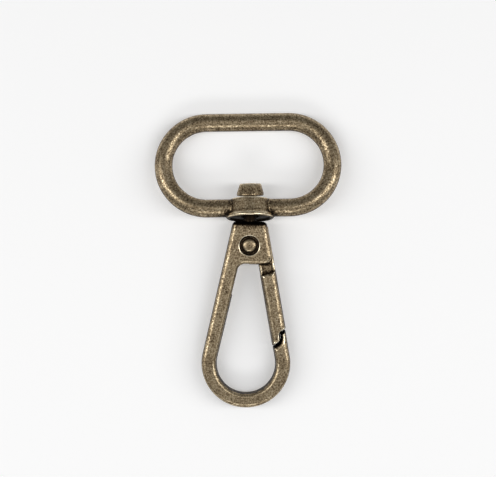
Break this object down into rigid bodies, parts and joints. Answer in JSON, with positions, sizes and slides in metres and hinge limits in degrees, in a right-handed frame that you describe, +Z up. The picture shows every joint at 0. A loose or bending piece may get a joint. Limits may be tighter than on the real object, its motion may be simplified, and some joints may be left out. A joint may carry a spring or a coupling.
{
  "type": "swivel snap hook",
  "caption": "Cast swivel snap hook: a flat teardrop hook with a sprung push gate, swivelling in the boss of an oval webbing ring.",
  "frame": {"origin": "on the surface that the object lies on, below the middle of its bounding box", "axes": "+Y from the hook's bend to the webbing ring, +X to the gate's side, +Z up off the surface"},
  "size_m": [0.047, 0.0745, 0.0118],
  "materials": {
    "cast_brass": "antique brass plate on a zinc casting, worn bright on the edges, satin",
    "rivet_brass": "antique brass plate, burnished",
    "spring_steel": "drawn spring wire, darkened"
  },
  "bodies": {
    "ring": {"swivel_ring": "cast_brass"},
    "cap": {"swivel_cap": "cast_brass"},
    "hook": {"hook_body": "cast_brass", "pivot_rivet": "rivet_brass", "torsion_spring": "spring_steel"},
    "gate": {"gate": "cast_brass"}
  },
  "joints": [
    {"name": "swivel_rock", "type": "hinge", "parent": "ring", "child": "cap", "pos_m": [0.0005, 0.01315, 0.00558], "axis": [0.9999, 0.014, 0], "range_deg": [-24.5, 0]},
    {"name": "hook_swivel", "type": "hinge", "parent": "cap", "child": "hook", "pos_m": [0.0005, 0.01315, 0.00558], "axis": [0.0174, 0.9978, 0.0641], "continuous": true},
    {"name": "gate_pivot", "type": "hinge", "parent": "hook", "child": "gate", "pos_m": [0.00034, 0.00387, 0.00499], "axis": [0.0011, 0.0641, -0.9979], "range_deg": [0, 26], "stiffness_Nm_per_rad": 0.012, "springref_deg": -51.57, "deforming": ["torsion_spring"]}
  ]
}
